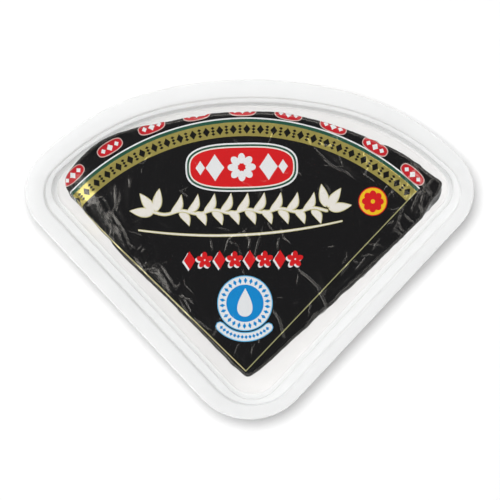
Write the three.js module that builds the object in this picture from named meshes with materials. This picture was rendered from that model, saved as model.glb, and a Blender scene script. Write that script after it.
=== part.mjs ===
/**
 * A quarter-round portion of blue cheese, wrapped in printed foil and sealed in a clear
 * thermoformed tray under a clear top film.
 *
 * Millimetres, +Z up. The origin is on the surface that the tray stands on, under the middle
 * of the tray. The bowed edge of the portion faces +Y and its tip faces -Y.
 */
import * as THREE from 'three';

// ---------------------------------------------------------------- driving dimensions

/** The tray's outer edge in plan, and its depth and sheet thickness. */
const TRAY = {
  length: 141.5, // from the crown of the bowed edge to the tip
  height: 28,
  sheet: 0.5,
  sideAngle: 43.04, // degrees between a straight side and the middle line
  tipRadius: 27.5,
  cornerRadius: 20.4,
  shoulderRadius: 103.3,
  crownRadius: 166.7,
  crownHalfAngle: 13, // degrees of the crown's arc on either side of the middle line
};

/**
 * Levels of the tray's upper face from its edge to its floor. Each is set in from the outer
 * edge by its own distance at the bowed edge, at the straight sides and at the tip.
 */
const FLANGE_EDGE = { round: 0.3, side: 0.3, tip: 0.3 };
const FLANGE_INNER = { round: 6.6, side: 6.4, tip: 6.6 };
const STEP_FOOT = { round: 7.0, side: 7.2, tip: 7.1 };
const POCKET_RIM = { round: 8.0, side: 10.6, tip: 8.6 };
const WALL_TOP = { round: 8.4, side: 11.0, tip: 9.0 };
const WALL_FOOT = { round: 10.2, side: 13.0, tip: 11.6 };
const FLOOR_EDGE = { round: 11.3, side: 14.2, tip: 13.0 };
const POCKET_SHIFT = new THREE.Vector2(1.2, -0.7); // of the pocket within the cut flange
const FLANGE_LIP = 1.3; // the turned-down edge of the flange
const STEP_DROP = 1.6; // from the flange to the ledge around the pocket
const FLOOR_ROUND = 1.6; // height of the round between wall and floor

const LID = { inset: 0.3, thickness: 0.25 };

/** The wrapped portion, drawn about the point where its two cut faces would meet. */
const WEDGE = {
  radius: 111.6,
  sideAngle: 45.6,
  sideBow: 0.95, // of the cut faces, halfway along
  tipSetback: 0.8, // of the rounded tip behind the meeting point
  cornerRadius: 8,
  thickness: 21,
  edgeRound: 1.8,
  crown: 0.9, // rise of the top face in its middle
  turn: -1.35, // degrees, as it lies in the tray
  apex: new THREE.Vector2(-0.7, -54.2),
};

/** Where the wrapping stands out from the round of the cheese, by angle from the middle line. */
const SHOULDERS = [
  { angle: 33.5, spread: 11, out: 5 },
  { angle: -37, spread: 11, out: 2.6 },
  { angle: -44, spread: 3, out: 1.8 },
];

const SHOULDER_FOOT = 0.35; // share of that at the underside
const SHOULDER_LEVEL = 0.7; // share of the thickness where it is full

/** Shallow waves of the foil down the wrapped faces: amplitude, length along the edge, phase. */
const EDGE_WAVES = [
  { rise: 0.24, length: 23, phase: 0.6 },
  { rise: 0.14, length: 11.5, phase: 2.1 },
];

/** Folds of the foil that stand up from the top face, in the portion's own plan. */
const FOLDS = [
  { from: [-66, 78], to: [-55, 60], width: 2.8, rise: 1.3 },
  { from: [-58, 80], to: [-53, 66], width: 2.2, rise: 0.9 },
  { from: [-50, 84], to: [-52, 62], width: 2.4, rise: 0.8 },
  { from: [-44, 74], to: [-47, 52], width: 2.6, rise: 0.6 },
  { from: [-5, 68], to: [-9, 46], width: 2.4, rise: 0.5 },
  { from: [7, 72], to: [-3, 48], width: 2.2, rise: 0.4 },
  { from: [27, 47], to: [32, 30], width: 2.4, rise: 0.4 },
  { from: [28, 96], to: [44, 84], width: 2.4, rise: 0.5 },
  { from: [66, 88], to: [74, 78], width: 2.6, rise: 1.1 },
  { from: [69, 75], to: [72, 68], width: 2.0, rise: 1.0 },
  { from: [62, 74], to: [58, 62], width: 2.4, rise: 0.8 },
  { from: [22, 20], to: [55, 56], width: 2.6, rise: 0.7 },
];

// ---------------------------------------------------------------- plan outlines

const radians = THREE.MathUtils.degToRad;
const degrees = THREE.MathUtils.radToDeg;

/** Points of an arc between two angles in degrees, without its last point. */
function arc(centre, radius, from, to, steps) {
  return Array.from({ length: steps }, (_, i) => {
    const angle = radians(THREE.MathUtils.lerp(from, to, i / steps));
    return new THREE.Vector2(Math.cos(angle), Math.sin(angle)).multiplyScalar(radius).add(centre);
  });
}

/** Evenly spaced points from one point towards another, without the last. */
function straight(from, to, steps) {
  return Array.from({ length: steps }, (_, i) => from.clone().lerp(to, i / steps));
}

const mirrored = (points) => points.map((p) => new THREE.Vector2(-p.x, p.y));

/**
 * Anticlockwise outline of a quarter-round plan, from its tip. Straight sides that would meet
 * at apexY run from a rounded tip, lowest at tipY, to rounded corners. The bowed edge between
 * the corners has two radii: the crown's in its middle and the shoulders' beside it.
 */
function quarterRound(plan, steps) {
  const side = radians(plan.sideAngle);
  const along = new THREE.Vector2(Math.sin(side), Math.cos(side));
  const outward = new THREE.Vector2(Math.cos(side), -Math.sin(side));

  const tipRadius = (plan.tipY - plan.apexY) / (1 / Math.sin(side) - 1);
  const tip = new THREE.Vector2(0, plan.tipY + tipRadius);
  const crown = new THREE.Vector2(0, plan.crownY - plan.crownRadius);
  const lean = radians(plan.crownHalfAngle);
  const shoulder = new THREE.Vector2(Math.sin(lean), Math.cos(lean))
    .multiplyScalar(plan.crownRadius - plan.shoulderRadius)
    .add(crown);

  // The corner's arc touches the side from within and the shoulder's arc from within.
  const fromSide = outward.clone().multiplyScalar(-plan.apexY * Math.sin(side) - plan.cornerRadius);
  const toSide = fromSide.clone().sub(shoulder);
  const reach = plan.shoulderRadius - plan.cornerRadius;
  const half = toSide.dot(along);
  const run = -half + Math.sqrt(half * half - toSide.lengthSq() + reach * reach);
  const corner = fromSide.clone().addScaledVector(along, run);
  const meet = degrees(corner.clone().sub(shoulder).angle());

  const sideStart = tip.clone().addScaledVector(outward, tipRadius);
  const sideEnd = corner.clone().addScaledVector(outward, plan.cornerRadius);
  const crownEnd = 90 - plan.crownHalfAngle;
  const right = [
    ...arc(tip, tipRadius, -90, -plan.sideAngle, steps.tip),
    ...straight(sideStart, sideEnd, steps.side),
    ...arc(corner, plan.cornerRadius, -plan.sideAngle, meet, steps.corner),
    ...arc(shoulder, plan.shoulderRadius, meet, crownEnd, steps.shoulder),
    ...arc(crown, plan.crownRadius, crownEnd, 90, steps.crown),
  ];
  const top = new THREE.Vector2(0, plan.crownY);
  return [...right, top, ...mirrored(right.slice(1)).reverse()];
}

// ---------------------------------------------------------------- lofted bodies

/** A level ring of an outline. */
const level = (outline, z) => outline.map((p) => new THREE.Vector3(p.x, p.y, z));

/**
 * Closed body through rings of equal length, from the middle of its underside to the middle
 * of its upper side. Each end is shut by a fan to its own centre point.
 */
function loft(rings, bottomCentre, topCentre) {
  const count = rings[0].length;
  const points = [bottomCentre, ...rings.flat(), topCentre];
  const last = points.length - 1;
  const index = [];
  for (let i = 0; i < count; i++) {
    const next = (i + 1) % count;
    index.push(0, 1 + next, 1 + i);
    for (let r = 0; r < rings.length - 1; r++) {
      const lower = 1 + r * count;
      const upper = lower + count;
      index.push(lower + i, lower + next, upper + next, lower + i, upper + next, upper + i);
    }
    index.push(last, last - count + i, last - count + next);
  }
  const geometry = new THREE.BufferGeometry().setFromPoints(points);
  geometry.setIndex(index);
  geometry.computeVertexNormals();
  return geometry;
}

// ---------------------------------------------------------------- tray and lid

const TRAY_STEPS = { tip: 7, side: 4, corner: 14, shoulder: 10, crown: 6 };
const traySide = Math.sin(radians(TRAY.sideAngle));
const trayTipY = -TRAY.length / 2;
const trayApexY = trayTipY - TRAY.tipRadius * (1 / traySide - 1);

/** The tray's outline set in from its outer edge at the bowed edge, the sides and the tip. */
function trayOutline({ round, side, tip }, extra = 0) {
  return quarterRound({
    sideAngle: TRAY.sideAngle,
    crownHalfAngle: TRAY.crownHalfAngle,
    apexY: trayApexY + (side + extra) / traySide,
    tipY: trayTipY + tip + extra,
    crownY: TRAY.length / 2 - round - extra,
    crownRadius: TRAY.crownRadius - round - extra,
    shoulderRadius: TRAY.shoulderRadius - round - extra,
    cornerRadius: TRAY.cornerRadius - (round + side) / 2 - extra,
  }, TRAY_STEPS);
}

/** The same for the levels of the pocket, which lies a little off the middle of the flange. */
const pocketOutline = (insets, extra) =>
  trayOutline(insets, extra).map((p) => p.add(POCKET_SHIFT));

/** One formed sheet: flange with a turned-down lip, stepped ledge, leaning walls and floor. */
function makeTray() {
  const { height, sheet } = TRAY;
  const outer = { round: 0, side: 0, tip: 0 };
  const ledge = height - STEP_DROP;
  const upper = [
    level(trayOutline(outer), height - FLANGE_EDGE.round),
    level(trayOutline(FLANGE_EDGE), height),
    level(pocketOutline(FLANGE_INNER), height),
    level(pocketOutline(STEP_FOOT), ledge),
    level(pocketOutline(POCKET_RIM), ledge),
    level(pocketOutline(WALL_TOP), ledge - sheet),
    level(pocketOutline(WALL_FOOT), sheet + FLOOR_ROUND),
    level(pocketOutline(FLOOR_EDGE), sheet),
  ];
  const lower = [
    level(pocketOutline(FLOOR_EDGE), 0),
    level(pocketOutline(WALL_FOOT, -sheet), FLOOR_ROUND),
    level(pocketOutline(WALL_TOP, -sheet), ledge - 2 * sheet),
    level(pocketOutline(STEP_FOOT, -sheet), ledge - sheet),
    level(pocketOutline(FLANGE_INNER, -sheet), height - sheet),
    level(trayOutline(outer, sheet), height - sheet),
    level(trayOutline(outer, sheet), height - FLANGE_LIP),
    level(trayOutline(outer), height - FLANGE_LIP),
  ];
  return loft(
    [...lower, ...upper],
    new THREE.Vector3(0, 0, 0),
    new THREE.Vector3(0, 0, sheet),
  );
}

/** The top film, sealed flat on the flange. */
function makeLid() {
  const outline = trayOutline({ round: LID.inset, side: LID.inset, tip: LID.inset });
  return loft(
    [level(outline, TRAY.height), level(outline, TRAY.height + LID.thickness)],
    new THREE.Vector3(0, 0, TRAY.height),
    new THREE.Vector3(0, 0, TRAY.height + LID.thickness),
  );
}

// ---------------------------------------------------------------- wrapped portion

const WEDGE_STEPS = { tip: 2, side: 38, corner: 5, shoulder: 18, crown: 12 };
const WEDGE_CROWN_ANGLE = 18;
const WEDGE_MIDDLE = new THREE.Vector2(0, 0.62 * WEDGE.radius);
const WALL_RINGS = [0.08, 0.35, 0.65, 0.92]; // heights of the side's rings, of the thickness
const TOP_RINGS = [0.93, 0.88, 0.82, 0.75, 0.68, 0.61, 0.54, 0.47, 0.4, 0.33, 0.26, 0.19, 0.12, 0.05];

const bell = (distance, spread) => Math.exp(-((distance / spread) ** 2));

/** How far the wrapping stands out at a point of the bowed edge. */
function shoulderRise(point) {
  const angle = degrees(Math.atan2(-point.x, point.y));
  return SHOULDERS.reduce((sum, s) => sum + s.out * bell(angle - s.angle, s.spread), 0);
}

/**
 * Outline of the wrapped portion about the meeting point of its cut faces, which bow out.
 * Its shoulders stand out by a share of their full amount.
 */
function wedgeOutline(fullness) {
  const plain = quarterRound({
    sideAngle: WEDGE.sideAngle,
    crownHalfAngle: WEDGE_CROWN_ANGLE,
    apexY: 0,
    tipY: WEDGE.tipSetback,
    crownY: WEDGE.radius,
    crownRadius: WEDGE.radius,
    shoulderRadius: WEDGE.radius,
    cornerRadius: WEDGE.cornerRadius,
  }, WEDGE_STEPS);
  const side = radians(WEDGE.sideAngle);
  return plain.map((p) => {
    const reach = p.length() / WEDGE.radius;
    const bow = WEDGE.sideBow * Math.max(0, Math.sin(Math.PI * reach));
    const onEdge = THREE.MathUtils.smoothstep(reach, 0.85, 1);
    return p.clone()
      .setLength(p.length() + onEdge * fullness * shoulderRise(p))
      .add(new THREE.Vector2(Math.sign(p.x) * Math.cos(side), -Math.sin(side)).multiplyScalar(bow));
  });
}

/** Distance in plan from a point to a fold's line. */
function distanceToFold(point, fold) {
  const from = new THREE.Vector2(...fold.from);
  const run = new THREE.Vector2(...fold.to).sub(from);
  const offset = point.clone().sub(from);
  const share = THREE.MathUtils.clamp(offset.dot(run) / run.lengthSq(), 0, 1);
  return offset.addScaledVector(run, -share).length();
}

/** Height of the top face at a point, where share is 0 in the middle and 1 at the edge. */
function topHeight(point, share) {
  const folds = FOLDS.reduce((sum, f) => sum + f.rise * bell(distanceToFold(point, f), f.width), 0);
  return WEDGE.thickness + WEDGE.crown * (1 - share * share) + folds * (1 - share ** 12);
}

/** Distance travelled along a closed outline at each of its points. */
function travel(outline) {
  let walked = 0;
  return outline.map((p, i) => {
    walked += i ? p.distanceTo(outline[i - 1]) : 0;
    return walked;
  });
}

/** How far the foil waves out at a distance along the edge and a share of the height. */
const waveOut = (walked, share) => EDGE_WAVES.reduce(
  (sum, w) => sum + w.rise * Math.sin((2 * Math.PI * walked) / w.length + w.phase + 2.5 * share),
  0,
);

/** The foil-wrapped cheese: flat underside, waved faces, rounded edges and a creased top. */
function makeWedge() {
  const foot = wedgeOutline(SHOULDER_FOOT);
  const brim = wedgeOutline(1);
  const walked = travel(brim);
  const edgeShare = 1 - WEDGE.edgeRound / (0.5 * WEDGE.radius);
  const drawnIn = (outline, share) => outline.map((p) => WEDGE_MIDDLE.clone().lerp(p, share));

  const wallRing = (share) => foot.map((p, i) => {
    const leaned = p.clone().lerp(brim[i], THREE.MathUtils.smoothstep(share, 0, SHOULDER_LEVEL));
    const out = leaned.sub(WEDGE_MIDDLE);
    out.setLength(out.length() + waveOut(walked[i], share)).add(WEDGE_MIDDLE);
    return new THREE.Vector3(out.x, out.y, share * WEDGE.thickness);
  });
  const topRing = (share) => drawnIn(brim, share).map(
    (p) => new THREE.Vector3(p.x, p.y, topHeight(p, share)),
  );

  const rings = [
    level(drawnIn(foot, edgeShare), 0),
    ...WALL_RINGS.map(wallRing),
    topRing(edgeShare),
    ...TOP_RINGS.map(topRing),
  ];
  const middle = (z) => new THREE.Vector3(WEDGE_MIDDLE.x, WEDGE_MIDDLE.y, z);
  return loft(rings, middle(0), middle(topHeight(WEDGE_MIDDLE, 0)));
}

// ---------------------------------------------------------------- assembly

const clearPlastic = { roughness: 0.08, metalness: 0, transparent: true, opacity: 0.35 };

function addMesh(parent, name, geometry, material) {
  const mesh = new THREE.Mesh(geometry, new THREE.MeshStandardMaterial(material));
  mesh.name = name;
  parent.add(mesh);
  return mesh;
}

const pack = new THREE.Group();
addMesh(pack, 'tray', makeTray(), { ...clearPlastic, color: 0xeceeed });
addMesh(pack, 'lid_film', makeLid(), { ...clearPlastic, color: 0xf6f7f7 });

const portion = new THREE.Group();
portion.position.set(WEDGE.apex.x, WEDGE.apex.y, TRAY.sheet);
portion.rotation.z = radians(WEDGE.turn);
addMesh(portion, 'wrapped_wedge', makeWedge(), { color: 0x202023, roughness: 0.32, metalness: 0.35 });
pack.add(portion);

export default pack;
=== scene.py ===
"""Looks of a foil-wrapped portion of blue cheese in its sealed clear tray.

The forms are worked out in millimetres and become meshes in metres, +Z up. The origin is on
the surface that the tray stands on, under the middle of the tray; the bowed edge faces +Y.
"""

import logging
import math
from collections.abc import Sequence
from dataclasses import dataclass, field
from enum import Enum

import bpy
import numpy as np
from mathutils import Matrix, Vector
from mathutils.geometry import delaunay_2d_cdt
from mathutils.kdtree import KDTree


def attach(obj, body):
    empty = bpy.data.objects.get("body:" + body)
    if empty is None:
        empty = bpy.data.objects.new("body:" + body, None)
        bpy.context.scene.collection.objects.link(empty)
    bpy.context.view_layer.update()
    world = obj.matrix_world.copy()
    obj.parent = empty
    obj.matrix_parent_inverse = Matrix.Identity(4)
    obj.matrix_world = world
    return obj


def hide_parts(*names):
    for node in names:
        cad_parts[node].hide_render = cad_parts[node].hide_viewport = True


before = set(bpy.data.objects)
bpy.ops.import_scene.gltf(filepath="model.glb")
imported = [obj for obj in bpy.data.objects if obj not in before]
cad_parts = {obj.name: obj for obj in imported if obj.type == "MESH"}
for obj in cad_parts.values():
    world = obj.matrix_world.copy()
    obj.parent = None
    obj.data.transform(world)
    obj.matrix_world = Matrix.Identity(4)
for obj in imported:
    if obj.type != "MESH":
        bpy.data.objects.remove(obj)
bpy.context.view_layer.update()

MM = 0.001
log = logging.getLogger("cheese_pack")

Colour = tuple[float, float, float]
Place = tuple[float, float]

# Least distance of an inner corner from the others of its sheet: beside a crease, and elsewhere.
CREASE_CLEARANCE = 0.12
OPEN_CLEARANCE = 0.23


# ---------------------------------------------------------------- small geometry


def smoothstep(value: np.ndarray, low: float, high: float) -> np.ndarray:
    """Smooth ramp from 0 at low to 1 at high.

    Args:
        value: Numbers to place on the ramp.
        low: Where the ramp starts.
        high: Where the ramp ends.

    Returns:
        Shares from 0 to 1.
    """
    share = np.clip((value - low) / (high - low), 0.0, 1.0)
    return share * share * (3.0 - 2.0 * share)


def bell(distance: np.ndarray, spread: float) -> np.ndarray:
    """Gaussian fall-off, 1 at no distance."""
    return np.exp(-((distance / spread) ** 2))


def turned(points: np.ndarray, degrees: float) -> np.ndarray:
    """Turn plan points anticlockwise about the origin.

    Args:
        points: The points.
        degrees: Angle of the turn.

    Returns:
        The turned points.
    """
    angle = math.radians(degrees)
    cosine, sine = math.cos(angle), math.sin(angle)
    return np.asarray(points, float) @ np.array([[cosine, sine], [-sine, cosine]])


def compass(angles: np.ndarray, radius: float | np.ndarray) -> np.ndarray:
    """Plan points at a radius, by angles in degrees anticlockwise from +Y."""
    turn = np.radians(angles)
    return np.stack([-np.sin(turn) * radius, np.cos(turn) * radius], axis=-1)


def arc(centre: np.ndarray, radius: float, start: float, end: float, steps: int) -> np.ndarray:
    """Points of an arc between two angles in degrees from +X, without its last point."""
    angle = np.radians(np.linspace(start, end, steps, endpoint=False))
    return np.stack([np.cos(angle), np.sin(angle)], axis=-1) * radius + centre


def evenly(points: np.ndarray, spacing: float, closed: bool) -> np.ndarray:
    """Points along a line at even distances.

    Args:
        points: Corner points of the line.
        spacing: Largest distance wanted between neighbours.
        closed: Whether the line returns to its start, which is then left out at the end.

    Returns:
        The new points.
    """
    line = np.vstack([points, points[:1]]) if closed else np.asarray(points, float)
    walked = np.concatenate([[0.0], np.cumsum(np.hypot(*np.diff(line, axis=0).T))])
    count = max(2, math.ceil(walked[-1] / spacing)) + (0 if closed else 1)
    stops = np.linspace(0.0, walked[-1], count, endpoint=not closed)
    return np.stack([np.interp(stops, walked, line[:, axis]) for axis in (0, 1)], axis=-1)


def distance_to_line(points: np.ndarray, line: np.ndarray) -> tuple[np.ndarray, np.ndarray]:
    """Distance from points to a line of straight pieces, and how far along it they are.

    Args:
        points: Plan points.
        line: Corner points of the line.

    Returns:
        The distances, signed by the side of the line, and the shares of its length.
    """
    best = np.full(len(points), np.inf)
    side = np.ones(len(points))
    along = np.zeros(len(points))
    lengths = np.hypot(*np.diff(line, axis=0).T)
    walked = np.concatenate([[0.0], np.cumsum(lengths)])
    for i, length in enumerate(lengths):
        run = line[i + 1] - line[i]
        offset = points - line[i]
        share = np.clip(offset @ run / length**2, 0.0, 1.0)
        away = np.hypot(*(offset - share[:, None] * run).T)
        nearer = away < best
        best = np.where(nearer, away, best)
        side = np.where(nearer, np.sign(run[0] * offset[:, 1] - run[1] * offset[:, 0]), side)
        along = np.where(nearer, (walked[i] + share * length) / walked[-1], along)
    return best * side, along


def lattice(low: np.ndarray, high: np.ndarray, spacing: float) -> np.ndarray:
    """Even triangular lattice over a box.

    Args:
        low: Least X and Y of the box.
        high: Greatest X and Y.
        spacing: Distance between neighbours.

    Returns:
        Plan points, row by row.
    """
    rise = spacing * math.sqrt(3) / 2
    rows = np.arange(low[1], high[1] + rise, rise)
    columns = np.arange(low[0], high[0] + spacing, spacing)
    x, y = np.meshgrid(columns, rows)
    x[1::2] += spacing / 2
    return np.stack([x.ravel(), y.ravel()], axis=-1)


def make_object(
    name: str,
    points: np.ndarray,
    faces: list[tuple[int, ...]] | np.ndarray,
    materials: list[bpy.types.Material],
    slots: np.ndarray | None = None,
) -> bpy.types.Object:
    """Smooth mesh object at the origin, from millimetres.

    Args:
        name: Name of the object and its mesh.
        points: Corners in millimetres.
        faces: Corner numbers of each face, anticlockwise from outside.
        materials: Finishes of the object's slots.
        slots: Slot of each face, if there are several.

    Returns:
        The object, linked into the scene.
    """
    mesh = bpy.data.meshes.new(name)
    mesh.from_pydata((np.asarray(points) * MM).tolist(), [], [list(map(int, f)) for f in faces])
    for material in materials:
        mesh.materials.append(material)
    mesh.polygons.foreach_set("use_smooth", np.ones(len(mesh.polygons), bool))
    if slots is not None:
        mesh.polygons.foreach_set("material_index", np.asarray(slots, np.int32))
    mesh.update()
    made = bpy.data.objects.new(name, mesh)
    bpy.context.scene.collection.objects.link(made)
    return made


def loft_faces(rings: int, count: int, first: int = 0) -> list[tuple[int, ...]]:
    """Faces between neighbouring rings of points, whose outside is to their right going up.

    Args:
        rings: Number of rings, one after another.
        count: Points in each ring.
        first: Number of the first ring's first point.

    Returns:
        Four-sided faces, ring by ring.
    """
    faces = []
    for ring in range(rings - 1):
        lower = first + ring * count
        for i in range(count):
            j = (i + 1) % count
            faces.append((lower + i, lower + j, lower + count + j, lower + count + i))
    return faces


# ---------------------------------------------------------------- plan outlines


@dataclass(frozen=True)
class Steps:
    """Points along each stretch of one half of an outline."""

    tip: int
    side: int
    corner: int
    shoulder: int
    crown: int


@dataclass(frozen=True)
class QuarterRound:
    """Plan of a quarter-round: two straight sides, a rounded tip and a bowed edge."""

    side_angle: float
    apex_y: float
    tip_y: float
    crown_y: float
    crown_radius: float
    shoulder_radius: float
    corner_radius: float
    crown_half_angle: float

    def outline(self, steps: Steps) -> np.ndarray:
        """Anticlockwise outline from the tip.

        Args:
            steps: Points along each stretch.

        Returns:
            Plan points, without the first one repeated.
        """
        side = math.radians(self.side_angle)
        along = np.array([math.sin(side), math.cos(side)])
        outward = np.array([math.cos(side), -math.sin(side)])
        tip_radius = (self.tip_y - self.apex_y) / (1 / math.sin(side) - 1)
        tip = np.array([0.0, self.tip_y + tip_radius])
        crown = np.array([0.0, self.crown_y - self.crown_radius])
        lean = math.radians(self.crown_half_angle)
        shoulder = crown + np.array([math.sin(lean), math.cos(lean)]) * (
            self.crown_radius - self.shoulder_radius
        )
        from_side = outward * (-self.apex_y * math.sin(side) - self.corner_radius)
        to_side = from_side - shoulder
        reach = self.shoulder_radius - self.corner_radius
        half = float(to_side @ along)
        run = -half + math.sqrt(half**2 - float(to_side @ to_side) + reach**2)
        corner = from_side + along * run
        meet = math.degrees(math.atan2(corner[1] - shoulder[1], corner[0] - shoulder[0]))
        crown_end = 90 - self.crown_half_angle
        start, end = tip + outward * tip_radius, corner + outward * self.corner_radius
        shares = np.linspace(0, 1, steps.side, endpoint=False)[:, None]
        right = np.concatenate([
            arc(tip, tip_radius, -90, -self.side_angle, steps.tip),
            start + shares * (end - start),
            arc(corner, self.corner_radius, -self.side_angle, meet, steps.corner),
            arc(shoulder, self.shoulder_radius, meet, crown_end, steps.shoulder),
            arc(crown, self.crown_radius, crown_end, 90, steps.crown),
        ])
        return np.concatenate([right, [[0.0, self.crown_y]], right[:0:-1] * (-1, 1)])


class PolarOutline:
    """An outline seen from a point inside it, by direction."""

    def __init__(self, outline: np.ndarray, centre: np.ndarray) -> None:
        """Measure the outline.

        Args:
            outline: Closed anticlockwise plan outline.
            centre: Point that sees all of it.
        """
        offset = outline - centre
        self.angles = np.arctan2(offset[:, 1], offset[:, 0])
        self.radii = np.hypot(*offset.T)
        steps = np.hypot(*np.diff(outline, axis=0).T)
        self.walked = np.concatenate([[0.0], np.cumsum(steps)])

    def radius(self, angle: np.ndarray) -> np.ndarray:
        """Distance from the centre to the outline in a direction, in radians from +X."""
        return np.interp(angle, self.angles, self.radii, period=2 * math.pi)

    def travel(self, angle: np.ndarray) -> np.ndarray:
        """Distance along the outline from its start to where a direction meets it."""
        return np.interp(angle, self.angles, self.walked, period=2 * math.pi)


# ---------------------------------------------------------------- finishes


class NodeSheet:
    """A node tree that is written from left to right, in rows."""

    PITCH = (180, -220)
    PER_ROW = 12

    def __init__(self, tree: bpy.types.NodeTree) -> None:
        """Start on an empty tree."""
        self.tree = tree

    def add(self, kind: str, inputs: dict | None = None, **settings: object) -> bpy.types.Node:
        """Add a node.

        Args:
            kind: Blender's name of the node type.
            inputs: Value or output socket for each input, by its name or number.
            settings: Properties of the node.

        Returns:
            The node.
        """
        node = self.tree.nodes.new(kind)
        row, column = divmod(len(self.tree.nodes), self.PER_ROW)
        node.location = (self.PITCH[0] * column, self.PITCH[1] * row)
        for name, value in settings.items():
            setattr(node, name, value)
        for key, value in (inputs or {}).items():
            if isinstance(value, bpy.types.NodeSocket):
                self.tree.links.new(value, node.inputs[key])
            else:
                node.inputs[key].default_value = value
        return node

    def maths(self, operation: str, *values: object) -> bpy.types.NodeSocket:
        """Output of a Math node, shader or geometry, on the values."""
        return self.add("ShaderNodeMath", dict(enumerate(values)), operation=operation).outputs[0]

    def place(self) -> bpy.types.NodeSocket:
        """Object coordinates, in metres."""
        return self.add("ShaderNodeTexCoord").outputs["Object"]

    def bump(
        self, height: bpy.types.NodeSocket, strength: float, distance: float
    ) -> bpy.types.NodeSocket:
        """Normal of a surface that is raised by a height times a distance in metres."""
        inputs = {"Height": height, "Strength": strength, "Distance": distance}
        return self.add("ShaderNodeBump", inputs).outputs["Normal"]

    def noise(self, place: bpy.types.NodeSocket, scale: float, detail: float) -> bpy.types.Node:
        """Noise texture at a place."""
        return self.add("ShaderNodeTexNoise", {"Vector": place, "Scale": scale, "Detail": detail})

    def ramp(
        self,
        value: bpy.types.NodeSocket,
        start: float,
        end: float,
        low: float = 0.0,
        high: float = 1.0,
        **settings: object,
    ) -> bpy.types.NodeSocket:
        """Value brought from one range to another and kept within it.

        Args:
            value: Value to bring over.
            start: Value that becomes the low end.
            end: Value that becomes the high end.
            low: First end of the new range.
            high: Last end of the new range.
            settings: Properties of the node.

        Returns:
            The output socket.
        """
        limits = {"From Min": start, "From Max": end, "To Min": low, "To Max": high}
        return self.add("ShaderNodeMapRange", {"Value": value, **limits}, **settings).outputs[0]


def new_material(name: str) -> tuple[bpy.types.Material, NodeSheet, bpy.types.Node]:
    """Material with an empty tree but for its output.

    Args:
        name: Name of the finish.

    Returns:
        The material, its sheet and the output node.
    """
    material = bpy.data.materials.new(name)
    material.use_nodes = True
    material.node_tree.nodes.clear()
    sheet = NodeSheet(material.node_tree)
    return material, sheet, sheet.add("ShaderNodeOutputMaterial")


def linear(red: int, green: int, blue: int) -> tuple[float, float, float, float]:
    """Linear colour from display values.

    Args:
        red: Red, from 0 to 255.
        green: Green.
        blue: Blue.

    Returns:
        The colour, without transparency.
    """

    def channel(value: int) -> float:
        """One channel, by the display's curve."""
        share = value / 255
        return share / 12.92 if share <= 0.04045 else ((share + 0.055) / 1.055) ** 2.4

    return channel(red), channel(green), channel(blue), 1.0


@dataclass(frozen=True)
class FoilFinish:
    """Lacquered print on thin metal foil, with the fine crinkle of handled foil."""

    name: str
    colour: tuple[int, int, int]
    metallic: float = 0.0
    roughness: float = 0.2
    mottle: float = 0.06
    gloss: float = 0.8
    gloss_tint: Colour = (1.0, 0.95, 0.88)
    # scales are in turns per metre
    crack_scale: float = 210.0
    crack_width: float = 0.06
    wander_scale: float = 90.0
    wander_share: float = 0.012
    patch_scale: float = 45.0
    patch_edges: tuple[float, float] = (0.48, 0.68)
    grain_scale: float = 900.0
    grain_share: float = 0.35
    bump_strength: float = 0.35
    bump_height: float = 0.00008

    def relief(self, sheet: NodeSheet, patches: bpy.types.NodeSocket) -> bpy.types.NodeSocket:
        """Fine cracks, which show in patches only, over an even grain.

        Args:
            sheet: Sheet of the material.
            patches: Noise that says where the cracks show.

        Returns:
            The normal of the roughened surface.
        """
        place = sheet.place()
        wander = sheet.noise(place, self.wander_scale, 2.0)
        bent = sheet.add(
            "ShaderNodeMix",
            {"Factor": self.wander_share, 4: place, 5: wander.outputs["Color"]},
            data_type="VECTOR",
        ).outputs[1]
        cracks = sheet.add(
            "ShaderNodeTexVoronoi",
            {"Vector": bent, "Scale": self.crack_scale},
            feature="DISTANCE_TO_EDGE",
        )
        crinkle = sheet.ramp(cracks.outputs["Distance"], 0.0, self.crack_width, 1.0, 0.0)
        lines = sheet.maths("MULTIPLY", crinkle, sheet.ramp(patches, *self.patch_edges))
        grain = sheet.noise(place, self.grain_scale, 3.0).outputs["Fac"]
        height = sheet.maths("ADD", lines, sheet.maths("MULTIPLY", grain, self.grain_share))
        return sheet.bump(height, self.bump_strength, self.bump_height)

    def material(self) -> bpy.types.Material:
        """Build the finish.

        Returns:
            The material, patterned by Object coordinates.
        """
        material, sheet, output = new_material(self.name)
        patches = sheet.noise(sheet.place(), self.patch_scale, 1.0).outputs["Fac"]
        base = linear(*self.colour)
        deepest = self.mottle * 4
        tint = sheet.add(
            "ShaderNodeMix",
            {
                "Factor": sheet.maths("MULTIPLY", patches, deepest),
                6: base,
                7: tuple(c * (1 - deepest) for c in base[:3]) + (1.0,),
            },
            data_type="RGBA",
        ).outputs[2]
        shader = sheet.add(
            "ShaderNodeBsdfPrincipled",
            {
                "Base Color": tint,
                "Metallic": self.metallic,
                "Roughness": self.roughness,
                "Specular IOR Level": self.gloss,
                "Specular Tint": (*self.gloss_tint, 1.0),
                "Normal": self.relief(sheet, patches),
            },
        )
        sheet.tree.links.new(shader.outputs[0], output.inputs["Surface"])
        return material


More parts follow.
